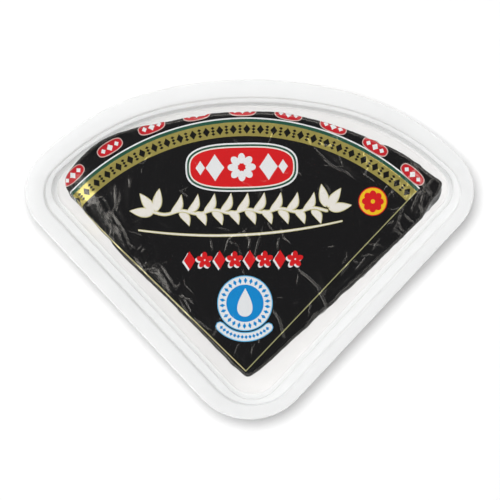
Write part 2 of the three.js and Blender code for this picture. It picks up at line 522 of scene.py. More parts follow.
class Ink(Enum):
    """The colours of the foil's print; the pale gold also stands as a painted highlight on the
    vee's left line.
    """

    BLACK = FoilFinish("foil_black", (19, 19, 21), roughness=0.23)
    GOLD = FoilFinish("foil_gold", (194, 180, 99), metallic=0.45, roughness=0.26, mottle=0.1)
    # pale gold: the branch's printed edge, and a painted highlight on the vee's left line
    PALE_GOLD = FoilFinish("foil_pale_gold", (222, 214, 156), metallic=0.3, roughness=0.28)
    LINE_GOLD = FoilFinish("foil_line_gold", (206, 202, 146), metallic=0.45, roughness=0.26)
    GREEN = FoilFinish("foil_green", (38, 84, 66))
    ROSE = FoilFinish("foil_rose", (208, 176, 170))
    WHITE = FoilFinish("foil_white", (232, 233, 234), mottle=0.02)
    CREAM = FoilFinish("foil_cream", (236, 231, 222), mottle=0.02)
    RED = FoilFinish("foil_red", (216, 32, 36))
    DARK_RED = FoilFinish("foil_dark_red", (196, 34, 44))
    BLUE = FoilFinish("foil_blue", (20, 138, 208))
    PALE_BLUE = FoilFinish("foil_pale_blue", (96, 178, 224))
    YELLOW = FoilFinish("foil_yellow", (244, 196, 38))
    INK = FoilFinish("foil_ink", (22, 22, 20))


@dataclass(frozen=True)
class ClearFinish:
    """Clear plastic sheet: see-through, a little milky, with a gloss that grows at a slant."""

    name: str
    haze: float
    tint: Colour = (0.995, 0.997, 0.997)
    haze_colour: Colour = (0.9, 0.9, 0.9)
    roughness: float = 0.07
    ior: float = 1.35
    most_gloss: float = 0.1
    # scales are in turns per metre
    ripple_scale: float = 60.0
    ripple_strength: float = 0.5
    ripple_height: float = 0.00001
    cloud_scale: float = 25.0
    cloud_spread: float = 0.2

    def material(self) -> bpy.types.Material:
        """Build the finish.

        Returns:
            The material, patterned by Object coordinates.
        """
        material, sheet, output = new_material(self.name)
        place = sheet.place()
        waves = sheet.noise(place, self.ripple_scale, 2.0).outputs["Fac"]
        bump = sheet.bump(waves, self.ripple_strength, self.ripple_height)
        clear = sheet.add("ShaderNodeBsdfTransparent", {"Color": (*self.tint, 1.0)})
        milky = sheet.add(
            "ShaderNodeBsdfDiffuse", {"Color": (*self.haze_colour, 1.0), "Normal": bump}
        )
        clouds = sheet.noise(place, self.cloud_scale, 1.0).outputs["Fac"]
        least, most = (self.haze * (1 + side * self.cloud_spread) for side in (-1, 1))
        amount = sheet.ramp(clouds, 0.0, 1.0, least, most)
        body = sheet.add(
            "ShaderNodeMixShader", {0: amount, 1: clear.outputs[0], 2: milky.outputs[0]}
        )
        gloss = sheet.add(
            "ShaderNodeBsdfGlossy",
            {"Color": (1, 1, 1, 1), "Roughness": self.roughness, "Normal": bump},
        )
        slant = sheet.add("ShaderNodeFresnel", {"IOR": self.ior, "Normal": bump}).outputs[0]
        share = sheet.maths("MINIMUM", slant, self.most_gloss)
        surface = sheet.add(
            "ShaderNodeMixShader", {0: share, 1: body.outputs[0], 2: gloss.outputs[0]}
        )
        sheet.tree.links.new(surface.outputs[0], output.inputs["Surface"])
        return material


class Clear(Enum):
    """The clear plastics of the pack."""

    FLOOR = ClearFinish("clear_floor", haze=0.5, haze_colour=(0.97, 0.955, 0.945), most_gloss=0.03)
    WALL = ClearFinish("clear_wall", haze=0.05, haze_colour=(0.94, 0.93, 0.92), most_gloss=0.03)
    LEDGE = ClearFinish("clear_ledge", haze=0.46, haze_colour=(0.84, 0.84, 0.84), most_gloss=0.03)
    FLANGE = ClearFinish("clear_flange", haze=0.62, haze_colour=(0.81, 0.81, 0.81), most_gloss=0.06)
    FILM = ClearFinish("clear_film", haze=0.001, roughness=0.05)


# ---------------------------------------------------------------- tray and film


@dataclass(frozen=True)
class Inset:
    """Distances in from the tray's outer edge at its bowed edge, its sides and its tip."""

    round: float
    side: float
    tip: float

    def level(self, z: float, extra: float = 0.0, shift: float = 1.0, zone: int = 0) -> np.ndarray:
        """A level of the tray's section.

        Args:
            z: Height of the level.
            extra: Further distance in.
            shift: Share of the pocket's shift that the level takes.
            zone: 0 on the floor, 1 on the walls, 2 on the ledge and 3 on the flange.

        Returns:
            The three insets, the height, the shift and the zone as one row.
        """
        return np.array([
            self.round + extra, self.side + extra, self.tip + extra, z, shift, zone,
        ])


@dataclass
class Tray:
    """The thermoformed tray: one sheet with a flat flange, a stepped ledge, walls and a floor."""

    length: float = 141.5
    height: float = 28.0
    sheet: float = 0.5
    side_angle: float = 43.04
    tip_radius: float = 27.5
    corner_radius: float = 20.4
    shoulder_radius: float = 103.3
    crown_radius: float = 166.7
    crown_half_angle: float = 13.0
    pocket_shift: Place = (1.2, -0.7)
    flange_lip: float = 1.3
    step_drop: float = 1.6
    floor_round: float = 1.6
    fillet: float = 0.4
    fillet_steps: int = 4
    longest_cut: float = 0.45  # of a fillet, as a share of the stretch it is on
    steps: Steps = Steps(tip=20, side=48, corner=36, shoulder=46, crown=24)
    edge: Inset = Inset(0.3, 0.3, 0.3)
    flange_inner: Inset = Inset(6.6, 6.4, 6.6)
    step_foot: Inset = Inset(7.0, 7.2, 7.1)
    pocket_rim: Inset = Inset(8.6, 10.6, 8.8)
    wall_top: Inset = Inset(9.0, 11.0, 9.2)
    wall_foot: Inset = Inset(9.3, 12.0, 10.4)
    floor_edge: Inset = Inset(10.4, 13.2, 11.8)

    def outline(self, row: np.ndarray) -> np.ndarray:
        """Outline of one level.

        Args:
            row: A row of Inset.level.

        Returns:
            Plan points, anticlockwise from the tip.
        """
        around, side, tip, _, shift, _ = row
        side_sine = math.sin(math.radians(self.side_angle))
        tip_y = -self.length / 2
        plan = QuarterRound(
            side_angle=self.side_angle,
            apex_y=tip_y - self.tip_radius * (1 / side_sine - 1) + side / side_sine,
            tip_y=tip_y + tip,
            crown_y=self.length / 2 - around,
            crown_radius=self.crown_radius - around,
            shoulder_radius=self.shoulder_radius - around,
            corner_radius=self.corner_radius - (around + side) / 2,
            crown_half_angle=self.crown_half_angle,
        )
        return plan.outline(self.steps) + shift * np.array(self.pocket_shift)

    def section(self) -> np.ndarray:
        """Rounded section from the middle of the underside to the middle of the upper side.

        Returns:
            Rows of Inset.level.
        """
        outer = Inset(0, 0, 0)
        height, sheet = self.height, self.sheet
        ledge = height - self.step_drop
        rows = np.array([
            self.floor_edge.level(0),
            self.wall_foot.level(self.floor_round, -sheet, zone=1),
            self.wall_top.level(ledge - 2 * sheet, -sheet, zone=1),
            self.step_foot.level(ledge - sheet, -sheet, zone=2),
            self.flange_inner.level(height - sheet, -sheet, zone=3),
            outer.level(height - sheet, sheet, shift=0, zone=3),
            outer.level(height - self.flange_lip, sheet, shift=0, zone=3),
            outer.level(height - self.flange_lip, shift=0, zone=3),
            outer.level(height - self.edge.round, shift=0, zone=3),
            self.edge.level(height, shift=0, zone=3),
            self.flange_inner.level(height, zone=3),
            self.step_foot.level(ledge, zone=2),
            self.pocket_rim.level(ledge, zone=2),
            self.wall_top.level(ledge - sheet, zone=1),
            self.wall_foot.level(sheet + self.floor_round, zone=1),
            self.floor_edge.level(sheet),
        ])
        return self.rounded(rows)

    def rounded(self, rows: np.ndarray) -> np.ndarray:
        """The section with each of its inner corners turned into a small curve.

        Args:
            rows: Corner rows of the section.

        Returns:
            More rows.
        """
        flat = np.stack([rows[:, :2].mean(axis=1), rows[:, 3]], axis=-1)
        made = [rows[0]]
        for i in range(1, len(rows) - 1):
            before, after = rows[i - 1] - rows[i], rows[i + 1] - rows[i]
            lengths = [np.hypot(*(flat[j] - flat[i])) for j in (i - 1, i + 1)]
            cut = min(self.fillet, *(self.longest_cut * length for length in lengths))
            first, last = before * cut / lengths[0], after * cut / lengths[1]
            for share in np.linspace(0, 1, self.fillet_steps):
                made.append(rows[i] + first * (1 - share) ** 2 + last * share**2)
        return np.array([*made, rows[-1]])

    def build(self) -> bpy.types.Object:
        """Make the tray as one closed sheet.

        Returns:
            The object.
        """
        rows = self.section()
        rings = []
        for row in rows:
            plan = self.outline(row)
            rings.append(np.column_stack([plan, np.full(len(plan), row[3])]))
        count = len(rings[0])
        points = np.concatenate([*rings, [[0, 0, 0]], [[0, 0, self.sheet]]])
        faces = loft_faces(len(rings), count)
        slots = np.repeat(np.round((rows[:-1, 5] + rows[1:, 5]) / 2).astype(int), count)
        underside, upper_side = len(points) - 2, len(points) - 1
        last = underside - count
        for i in range(count):
            j = (i + 1) % count
            faces.append((underside, j, i))
            faces.append((upper_side, last + i, last + j))
        slots = np.concatenate([slots, np.zeros(2 * count, int)])
        zones = (Clear.FLOOR, Clear.WALL, Clear.LEDGE, Clear.FLANGE)
        finishes = [zone.value.material() for zone in zones]
        made = make_object("clear_tray", points, faces, finishes, slots)
        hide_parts("tray")
        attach(made, "root")
        return made


@dataclass
class SealingFilm:
    """The clear top film, sealed flat on the flange and slightly loose over the pocket."""

    tray: Tray
    inset: float = 0.3
    lift: float = 0.03
    thickness: float = 0.09
    spacing: float = 1.6
    sag: float = 0.12
    slope: float = 14.0  # width of the strip in which the sag grows
    waves: tuple[tuple[float, float, float], ...] = (
        (31.0, 17.0, 0.4), (-12.0, 23.0, 1.9), (7.0, 41.0, 3.1),
    )

    def height(self, plan: np.ndarray) -> np.ndarray:
        """Height of the film's underside above the flange.

        Args:
            plan: Plan points.

        Returns:
            Heights in millimetres.
        """
        rim = PolarOutline(self.tray.outline(self.tray.step_foot.level(0)), np.zeros(2))
        angle = np.arctan2(plan[:, 1], plan[:, 0])
        inside = smoothstep(rim.radius(angle) - np.hypot(*plan.T), 0.0, self.slope)
        sway = sum(
            np.sin(turned(plan, turn)[:, 0] * 2 * math.pi / length + phase)
            for turn, length, phase in self.waves
        )
        return self.lift + inside * self.sag * (sway / len(self.waves) + 1) / 2

    def build(self) -> bpy.types.Object:
        """Make the film as one closed sheet.

        Returns:
            The object.
        """
        edge = Inset(self.inset, self.inset, self.inset).level(0, shift=0)
        outline = evenly(self.tray.outline(edge), self.spacing, closed=True)
        plan, faces, _, loop = triangulated(outline, [], lattice(
            outline.min(0), outline.max(0), self.spacing
        ))
        base = self.tray.height + self.height(plan)
        lower = np.column_stack([plan, base])
        upper = np.column_stack([plan, base + self.thickness])
        count = len(plan)
        sides = [(i, j, j + count, i + count) for i, j in zip(loop, np.roll(loop, -1))]
        bottom = [face[::-1] for face in faces]
        top = [tuple(i + count for i in face) for face in faces]
        made = make_object(
            "sealing_film", np.vstack([lower, upper]), bottom + top + sides,
            [Clear.FILM.value.material()],
        )
        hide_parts("lid_film")
        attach(made, "root")
        return made


def triangulated(
    outline: np.ndarray,
    regions: Sequence[np.ndarray],
    inner: np.ndarray,
    crests: Sequence[np.ndarray] = (),
    flanks: np.ndarray | None = None,
) -> tuple[np.ndarray, list[tuple[int, ...]], np.ndarray, np.ndarray]:
    """Triangles that fill an outline and follow the edges of the regions laid on it.

    Args:
        outline: Closed plan outline.
        regions: Closed plan shapes, where a later one covers those before it.
        inner: Points wanted inside, of which those near to others are left out.
        crests: Lines that the triangles' edges also follow.
        flanks: Points wanted beside the crests.

    Returns:
        Plan points, faces, the number of the uppermost region of each face (0 for none and
        then from 1), and the outline's points in order.
    """
    points, shapes, edges = [], [], []
    for shape in (outline, *regions, *crests):
        indices = list(range(len(points), len(points) + len(shape)))
        points += [Vector(p) for p in shape]
        if len(shapes) <= len(regions):
            shapes.append(indices)
        else:
            edges += zip(indices[:-1], indices[1:])
    for loose, clearance in ((flanks, CREASE_CLEARANCE), (inner, OPEN_CLEARANCE)):
        if loose is None:
            continue
        tree = KDTree(len(points))
        for i, point in enumerate(points):
            tree.insert((*point, 0.0), i)
        tree.balance()
        points += [Vector(p) for p in loose if tree.find((*p, 0.0))[2] > clearance]
    made, _, faces, origins, _, owners = delaunay_2d_cdt(points, edges, shapes, 1, 1e-4)
    place = {old: new for new, olds in enumerate(origins) for old in olds}
    inside = [(face, owner) for face, owner in zip(faces, owners) if 0 in owner]
    used = np.unique([i for face, _ in inside for i in face])
    renumbered = np.full(len(made), -1)
    renumbered[used] = np.arange(len(used))
    return (
        np.array([tuple(made[i]) for i in used]),
        [tuple(renumbered[list(face)]) for face, _ in inside],
        np.array([max(owner) for _, owner in inside]),
        renumbered[[place[i] for i in shapes[0]]],
    )


# ---------------------------------------------------------------- the foil's print


class ArcRepeat:
    """Geometry nodes that set copies of a flat motif along an arc."""

    def __init__(self) -> None:
        """Build the tree once, with its named inputs."""
        tree = bpy.data.node_groups.new("copies_along_an_arc", "GeometryNodeTree")
        for name, kind in (
            ("Geometry", "NodeSocketGeometry"),
            ("Motif", "NodeSocketObject"),
            ("Count", "NodeSocketInt"),
            ("Radius", "NodeSocketFloat"),
            ("First Angle", "NodeSocketFloat"),
            ("Last Angle", "NodeSocketFloat"),
            ("Ink", "NodeSocketMaterial"),
        ):
            tree.interface.new_socket(name, in_out="INPUT", socket_type=kind)
        tree.interface.new_socket("Geometry", in_out="OUTPUT", socket_type="NodeSocketGeometry")
        sheet = NodeSheet(tree)
        given = sheet.add("NodeGroupInput").outputs
        share = sheet.maths(
            "DIVIDE",
            sheet.add("GeometryNodeInputIndex").outputs[0],
            sheet.maths("MAXIMUM", sheet.maths("SUBTRACT", given["Count"], 1.0), 1.0),
        )
        sweep = sheet.maths("SUBTRACT", given["Last Angle"], given["First Angle"])
        angle = sheet.maths("MULTIPLY_ADD", share, sweep, given["First Angle"])
        x = sheet.maths(
            "MULTIPLY", sheet.maths("SINE", angle), sheet.maths("MULTIPLY", given["Radius"], -1.0)
        )
        y = sheet.maths("MULTIPLY", sheet.maths("COSINE", angle), given["Radius"])
        spot = sheet.add("ShaderNodeCombineXYZ", {0: x, 1: y})
        dots = sheet.add(
            "GeometryNodePoints", {"Count": given["Count"], "Position": spot.outputs[0]}
        )
        motif = sheet.add("GeometryNodeObjectInfo", {"Object": given["Motif"]})
        copies = sheet.add(
            "GeometryNodeInstanceOnPoints",
            {"Points": dots.outputs[0], "Instance": motif.outputs["Geometry"]},
        )
        spin = sheet.add("ShaderNodeCombineXYZ", {2: angle})
        rotated = sheet.add(
            "GeometryNodeRotateInstances",
            {"Instances": copies.outputs[0], "Rotation": spin.outputs[0]},
        )
        real = sheet.add("GeometryNodeRealizeInstances", {0: rotated.outputs[0]})
        inked = sheet.add(
            "GeometryNodeSetMaterial", {"Geometry": real.outputs[0], "Material": given["Ink"]}
        )
        sheet.add("NodeGroupOutput", {0: inked.outputs[0]})
        self.tree = tree
        self.sockets = {
            item.name: item.identifier
            for item in tree.interface.items_tree
            if item.in_out == "INPUT"
        }

    def laid(
        self, motif: list[np.ndarray], count: int, radius: float, first: float, last: float
    ) -> list[np.ndarray]:
        """Copies of a motif, drawn at the origin with +Y outwards.

        Args:
            motif: Closed shapes of the motif.
            count: Number of copies.
            radius: Radius of the arc, about the origin.
            first: Angle of the first copy, in degrees anticlockwise from +Y.
            last: Angle of the last copy.

        Returns:
            The closed shapes of every copy.
        """
        mesh = bpy.data.meshes.new("motif")
        corners = [(*p, 0.0) for shape in motif for p in shape]
        starts = np.cumsum([0, *(len(shape) for shape in motif)])
        mesh.from_pydata(corners, [], [
            list(range(a, b)) for a, b in zip(starts[:-1], starts[1:])
        ])
        source = bpy.data.objects.new("motif", mesh)
        carrier = bpy.data.objects.new("copies", bpy.data.meshes.new("copies"))
        for made in (source, carrier):
            bpy.context.scene.collection.objects.link(made)
        modifier = carrier.modifiers.new("copies", "NODES")
        modifier.node_group = self.tree
        for name, value in (
            ("Motif", source),
            ("Count", count),
            ("Radius", float(radius)),
            ("First Angle", math.radians(first)),
            ("Last Angle", math.radians(last)),
        ):
            modifier[self.sockets[name]] = value
        graph = bpy.context.evaluated_depsgraph_get()
        flat = bpy.data.meshes.new_from_object(carrier.evaluated_get(graph))
        shapes = [
            np.array([flat.vertices[i].co[:2] for i in polygon.vertices])
            for polygon in flat.polygons
        ]
        carrier.modifiers.clear()
        for made in (carrier, source):
            data = made.data
            bpy.data.objects.remove(made)
            bpy.data.meshes.remove(data)
        bpy.data.meshes.remove(flat)
        return shapes


def ellipse(width: float, height: float, power: float = 2.0, spacing: float = 0.5) -> np.ndarray:
    """Closed rounded shape about the origin.

    Args:
        width: Size along X.
        height: Size along Y.
        power: 2 for an ellipse, more for squarer ends.
        spacing: Distance between its points.

    Returns:
        Plan points, anticlockwise.
    """
    turn = np.linspace(0, 2 * math.pi, 240, endpoint=False)
    cosine, sine = np.cos(turn), np.sin(turn)
    shape = np.stack([
        np.sign(cosine) * np.abs(cosine) ** (2 / power) * width / 2,
        np.sign(sine) * np.abs(sine) ** (2 / power) * height / 2,
    ], axis=-1)
    return evenly(shape, spacing, closed=True)


def lozenge(width: float, height: float, waist: float = 0.0) -> np.ndarray:
    """Four-pointed closed shape about the origin.

    Args:
        width: Size along X.
        height: Size along Y.
        waist: How far its sides bow in, as a share of its size.

    Returns:
        Plan points, anticlockwise.
    """
    corners = np.array([[width / 2, 0], [0, height / 2], [-width / 2, 0], [0, -height / 2]])
    made = []
    for start, end in zip(corners, np.roll(corners, -1, axis=0)):
        middle = (start + end) / 2 * (1 - waist)
        for share in (0.0, 0.25, 0.5, 0.75):
            made.append(
                start * (1 - share) ** 2 + middle * 2 * share * (1 - share) + end * share**2
            )
    return np.array(made)


def stroke(line: np.ndarray, widths: np.ndarray | float) -> np.ndarray:
    """Closed outline of a line with round ends, whose width may change along it.

    Args:
        line: Points along the middle of the stroke.
        widths: Width at each of them, or everywhere.

    Returns:
        Plan points, anticlockwise.
    """
    widths = np.broadcast_to(widths, len(line))
    run = np.gradient(line, axis=0)
    run /= np.hypot(*run.T)[:, None]
    normal = np.stack([run[:, 1], -run[:, 0]], axis=-1) * widths[:, None] / 2
    turns = np.radians([45, 90, 135])[:, None]
    tail = line[-1] + np.cos(turns) * normal[-1] + np.sin(turns) * run[-1] * widths[-1] / 2
    head = line[0] - np.cos(turns) * normal[0] - np.sin(turns) * run[0] * widths[0] / 2
    return np.vstack([line + normal, tail, (line - normal)[::-1], head])


def blade(length: float, width: float, bow: float, base: float) -> np.ndarray:
    """Closed leaf shape that points along +Y.

    Args:
        length: Its length.
        width: Its greatest width.
        bow: How far its middle line bows to +X, as a share of its length.
        base: Where it starts along Y.

    Returns:
        Plan points.
    """
    share = np.linspace(0, 1, 26)
    middle = bow * length * np.sin(math.pi * share)
    half = width / 2 * np.sin(math.pi * share**0.75) ** 0.9
    y = base + length * share
    right = np.stack([middle + half, y], axis=-1)
    left = np.stack([middle - half, y], axis=-1)
    return np.vstack([right, left[-2:0:-1]])


@dataclass
class FoilPrint:
    """Layout of the printed fields, in the portion's own plan, with the later ones on top."""

    centre: Place = (-0.7, 6.0)  # of every arc of the print
    white_line: tuple[float, float] = (102.85, 103.4)
    green_line: tuple[float, float] = (101.5, 102.85)
    gold_band: tuple[float, float] = (95.6, 101.5)
    band_ends: tuple[float, float] = (62.0, -43.1)
    pattern_ends: tuple[float, float] = (54.0, -41.5)
    pattern_pitch: float = 5.4
    pearl_pitch: float = 1.25
    vee_tip: Place = (-1.0, 3.4)
    vee_right: Place = (67.6, 79.2)
    vee_left: Place = (-74.0, 71.4)
    vee_width: float = 0.42
    spacing: float = 0.5
    oval_centre: Place = (-2.2, 6.2)
    oval_radius: float = 106.3
    oval_ends: tuple[float, float] = (43.4, -40.4)
    ovals: int = 9
    plaque: Place = (-4.7, 88.5)
    plaque_size: tuple[float, float] = (47.0, 20.4)
    squareness: float = 2.9
    tilt: float = 2.6  # of the plaque and the branch
    branch: Place = (-5.4, 71.3)
    gold_edge: float = 0.7
    leaf_pitch: float = 6.9
    leaves: int = 9
    row: Place = (-3.5, 50.0)
    row_tilt: float = 2.2
    row_pitch: float = 6.3
    row_length: int = 8
    shadow: float = -0.6
    straight: float = 1500.0  # radius of an arc that looks like a straight line
    badge: Place = (-2.0, 31.7)
    banner_radius: float = 14.1
    banner_reach: float = 46.0  # to either side of its middle, in degrees
    seal: Place = (50.4, 75.5)
    fields: list[tuple[np.ndarray, Ink]] = field(default_factory=list)
    repeat: ArcRepeat = field(default_factory=ArcRepeat)

    def add(
        self,
        ink: Ink,
        shapes: Sequence[np.ndarray],
        centre: Sequence[float] = (0.0, 0.0),
        turn: float = 0.0,
    ) -> None:
        """Lay shapes of one ink over what is there, all the same way round.

        Args:
            ink: Their ink.
            shapes: Closed shapes about the origin.
            centre: Where the origin goes.
            turn: How far they are turned about it, in degrees.
        """
        for shape in shapes:
            placed = turned(shape, turn) + np.array(centre)
            after = np.roll(placed, -1, axis=0)
            area = np.sum(placed[:, 0] * after[:, 1] - placed[:, 1] * after[:, 0])
            self.fields.append((placed if area > 0 else placed[::-1], ink))

    def sector(self, radii: tuple[float, float]) -> np.ndarray:
        """Closed band about the print's centre, between the ends of the bands.

        Args:
            radii: Its inner and outer radius.

        Returns:
            Plan points.
        """
        first, last = self.band_ends
        steps = math.ceil(math.radians(first - last) * radii[1] / self.spacing)
        angles = np.linspace(last, first, steps)
        outer, inner = compass(angles, radii[1]), compass(angles, radii[0])
        return np.vstack([outer, inner[::-1]]) + self.centre

    def lay(self) -> list[tuple[np.ndarray, Ink]]:
        """Draw the whole print.

        Returns:
            Closed shapes and their inks, in the order in which they cover each other.
        """
        self.lay_bands()
        self.lay_ovals()
        self.lay_plaque()
        self.lay_branch()
        self.lay_row()
        self.lay_badge()
        self.lay_seal()
        return self.fields

    def lay_bands(self) -> None:
        """The lines and the patterned band along the bowed edge, and the vee along the sides, whose
        left line is paler gold as a painted highlight.
        """
        for ink, radii in (
            (Ink.WHITE, self.white_line), (Ink.GREEN, self.green_line), (Ink.GOLD, self.gold_band)
        ):
            self.add(ink, [self.sector(radii)])
        middle = sum(self.gold_band) / 2
        first, last = self.pattern_ends
        count = round(math.radians(first - last) * middle / self.pattern_pitch)
        half = math.degrees(self.pattern_pitch / middle) / 2
        pearls = [
            lozenge(1.7, 1.25) + np.array([0.0, row * self.pearl_pitch]) for row in (-1, 0, 1)
        ]
        for motif, start, end, copies in (
            ([lozenge(3.0, 3.9, 0.02)], first, last, count),
            (pearls, first - half, last + half, count - 1),
        ):
            self.add(Ink.INK, self.repeat.laid(motif, copies, middle, start, end), self.centre)
        # Painted highlight: the left line is the same ink as the right one, drawn in a paler gold
        # because it runs along the rounded edge that catches the light.
        for ink, end in ((Ink.LINE_GOLD, self.vee_right), (Ink.PALE_GOLD, self.vee_left)):
            line = evenly(np.array([self.vee_tip, end]), self.spacing, closed=False)
            self.add(ink, [stroke(line, self.vee_width)])

    def lay_ovals(self) -> None:
        """The row of small ovals beside the bowed edge, which runs over it in places."""
        marks = [lozenge(2.9, 3.1, 0.1)]
        marks += [lozenge(2.2, 2.2) + np.array([x, 0.0]) for x in (-3.2, 3.2)]
        for ink, motif in (
            (Ink.ROSE, [ellipse(11.9, 5.3, 2.7)]),
            (Ink.DARK_RED, [ellipse(11.1, 4.5, 2.7)]),
            (Ink.WHITE, marks),
        ):
            copies = self.repeat.laid(motif, self.ovals, self.oval_radius, *self.oval_ends)
            self.add(ink, copies, self.oval_centre)

    def lay_plaque(self) -> None:
        """The red oval in its three rims, with a daisy between lozenges."""
        width, height = self.plaque_size
        layers = [
            (ink, [ellipse(width - inset, height - inset, self.squareness)])
            for ink, inset in ((Ink.WHITE, 0.0), (Ink.GREEN, 1.3), (Ink.CREAM, 2.9), (Ink.RED, 4.0))
        ]
        layers.append((Ink.WHITE, self.repeat.laid([ellipse(3.1, 4.4)], 8, 3.7, 0, 315)))
        layers.append((Ink.RED, [ellipse(2.2, 2.2)]))
        layers.append((Ink.WHITE, [
            lozenge(width, height, 0.05) + np.array([side * x, 0.0])
            for side in (-1, 1)
            for x, width, height in ((11.2, 7.8, 11.2), (17.3, 4.0, 6.0))
        ]))
        for ink, shapes in layers:
            self.add(ink, shapes, self.plaque, self.tilt)

    def lay_branch(self) -> None:
        """The cream branch with a gold edge, with a tulip at each end, over a bowed line."""
        pitch = math.degrees(self.leaf_pitch / self.straight)
        below = np.array([0.0, -self.straight])
        x = np.arange(-36.0, 36.8, 0.6)
        middle = -1.2
        stem = np.stack([x, 0.7 * np.sin(x * math.pi / self.leaf_pitch) + middle], axis=-1)
        x = np.arange(-42.0, 43.0, 0.8)
        bowed = np.stack([x, 4.4 * ((x + 5) / 45) ** 2 - 11.2], axis=-1)
        thin = 0.3 + 0.4 * np.sin(np.linspace(0.1, 3.0, len(bowed)))
        for ink, edge in ((Ink.PALE_GOLD, self.gold_edge), (Ink.CREAM, 0.0)):
            shapes = [stroke(stem, 0.8 + edge), stroke(bowed, thin + 0.7 * edge)]
            for side, length, lean, start in ((1, 8.6, -30.0, 4.1), (-1, 6.6, 214.0, 3.6)):
                leaf = turned(blade(length + edge, 2.9 + edge, 0.15 * side, -edge / 2), lean)
                ends = start * pitch, (start - self.leaves + 1) * pitch
                leaves = self.repeat.laid([leaf], self.leaves, self.straight, *ends)
                shapes += [leaf + below + (0.0, middle) for leaf in leaves]
            petal = blade(9.4 + edge, 3.5 + edge, 0.0, -edge / 2)
            for base, lean in (((-35.0, -1.6), 36.0), ((36.4, -1.2), -36.0)):
                fan = self.repeat.laid([petal], 3, 1.2, lean + 46, lean - 46)
                shapes += [leaf + base for leaf in fan]
            self.add(ink, shapes, self.branch, self.tilt)

    def lay_row(self) -> None:
        """The short row of red shapes with a white shadow, under the branch."""
        pitch = math.degrees(self.row_pitch / self.straight)
        below = self.row + turned(np.array([[0.0, -self.straight]]), self.row_tilt)[0]
        reach = pitch * (self.row_length - 1) / 2
        flower = self.repeat.laid([ellipse(2.2, 3.2)], 5, 1.9, 0, 288)
        for ink, shift in ((Ink.WHITE, self.shadow), (Ink.RED, 0.0)):
            for motif, start in (([lozenge(4.9, 7.7)], 0.0), (flower, pitch)):
                ends = reach - start, pitch - reach - start
                shapes = self.repeat.laid(motif, self.row_length // 2, self.straight, *ends)
                self.add(ink, shapes, below + shift, self.row_tilt)

    def lay_badge(self) -> None:
        """The blue and white round badge with a drop, over a curved banner."""
        radius, reach = self.banner_radius, self.banner_reach
        banner = compass(np.linspace(180 - reach, 180 + reach, 50), radius)
        turn = np.linspace(0, 2 * math.pi, 60, endpoint=False)
        drop = np.stack(
            [4.4 * np.sin(turn) * np.sin(turn / 2) ** 1.3, 6.0 * np.cos(turn) + 0.4], axis=-1
        )
        beads = reach - 3.0
        for ink, shapes in (
            (Ink.PALE_BLUE, [stroke(banner, 4.0)]),
            (Ink.WHITE, [stroke(banner, 3.2)]),
            (Ink.BLUE, self.repeat.laid(
                [lozenge(1.5, 1.7)], 14, radius, 180 - beads, 180 + beads
            )),
            (Ink.INK, [ellipse(24.2, 24.2)]),
            (Ink.PALE_BLUE, [ellipse(23.2, 23.2)]),
            (Ink.WHITE, [ellipse(22.4, 22.4)]),
            (Ink.BLUE, [ellipse(15.6, 15.6)]),
            (Ink.BLUE, self.repeat.laid([lozenge(1.5, 2.5)], 26, 9.5, 0, 346.15)),
            (Ink.WHITE, [drop]),
        ):
            self.add(ink, shapes, self.badge)

    def lay_seal(self) -> None:
        """The small round seal: a red flower on yellow."""
        for ink, shapes in (
            (Ink.RED, [ellipse(12.1, 12.1)]),
            (Ink.YELLOW, [ellipse(11.3, 11.3)]),
            (Ink.RED, self.repeat.laid([ellipse(2.9, 3.4)], 8, 2.9, 0, 315)),
            (Ink.RED, [ellipse(5.4, 5.4)]),
            (Ink.YELLOW, [ellipse(1.8, 1.8)]),
        ):
            self.add(ink, shapes, self.seal)


# ---------------------------------------------------------------- the wrapped portion


@dataclass(frozen=True)
class Ridge:
    """A fold or a crease of the foil: its line, its width to either side and its rise."""

    line: tuple[Place, ...]
    width: float
    rise: float
    steep: float = 1.0  # the far flank's width as a share of the near one's
    sharp: bool = False

    @classmethod
    def crease(cls, line: Sequence[Place], rise: float, narrowest: float) -> "Ridge":
        """Sharp crease along a line, which is wider the higher it is."""
        return cls(tuple(map(tuple, line)), narrowest + 0.7 * rise, rise, 0.6, sharp=True)

    def height(self, plan: np.ndarray) -> np.ndarray:
        """Rise of the ridge.

        Args:
            plan: Points of the flat sheet.

        Returns:
            Heights at the points.
        """
        line = np.array(self.line)
        reach = (1.2 if self.sharp else 3.0) * self.width
        near = np.all((plan > line.min(0) - reach) & (plan < line.max(0) + reach), axis=1)
        made = np.zeros(len(plan))
        if near.any():
            away, along = distance_to_line(plan[near], line)
            share = np.abs(away) / np.where(away > 0, self.width * self.steep, self.width)
            crest = np.clip(1 - share, 0, 1) ** 1.3 if self.sharp else np.exp(-(share**2))
            made[near] = self.rise * crest * np.sqrt(np.sin(math.pi * np.clip(along, 0.02, 0.98)))
        return made

    def rows(self, spacing: float) -> tuple[np.ndarray, np.ndarray]:
        """Points that a mesh needs to show the ridge.

        Args:
            spacing: Distance between those along the crest.

        Returns:
            Points along the crest, and those along the middle and the foot of both flanks.
        """
        crest = evenly(np.array(self.line), spacing, closed=False)
        run = np.gradient(crest, axis=0)
        run /= np.hypot(*run.T)[:, None]
        normal = np.stack([-run[:, 1], run[:, 0]], axis=-1) * self.width
        shares = (-1.0, -0.5, 0.5 * self.steep, self.steep)
        return crest, np.vstack([crest + normal * share for share in shares])


